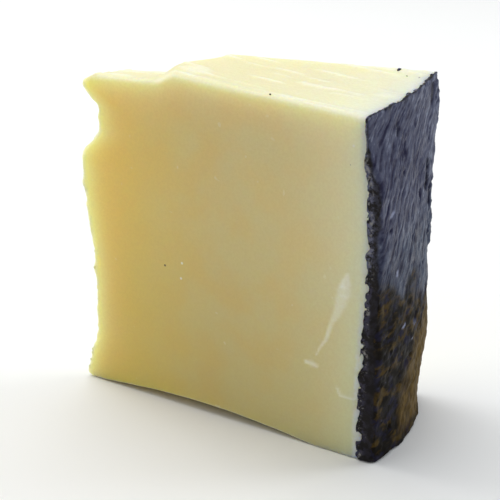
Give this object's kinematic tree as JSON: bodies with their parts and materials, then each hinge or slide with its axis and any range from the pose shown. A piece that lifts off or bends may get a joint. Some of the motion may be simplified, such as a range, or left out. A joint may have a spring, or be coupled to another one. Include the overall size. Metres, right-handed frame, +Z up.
{
  "type": "cheese wedge",
  "caption": "Wedge of pale hard cheese cut from a tall wheel, with flat cut faces, a thin broken nose and a rough black rind on its outer side.",
  "frame": {"origin": "middle of the base of the bounding box, on the surface that the wedge stands on", "axes": "+Z up, along the axis of the wheel; +X from the broken nose out to the rind; the cut faces look towards -Y and +Y"},
  "size_m": [0.0946, 0.043, 0.0906],
  "materials": {
    "paste": "pale yellow hard cheese, smooth and waxy where it was cut, granular where it broke",
    "rind": "blue-black coated rind with a satin sheen, upright streaks and pits, browner towards the base"
  },
  "bodies": {
    "root": {"paste": "paste", "rind": "rind"}
  },
  "joints": []
}
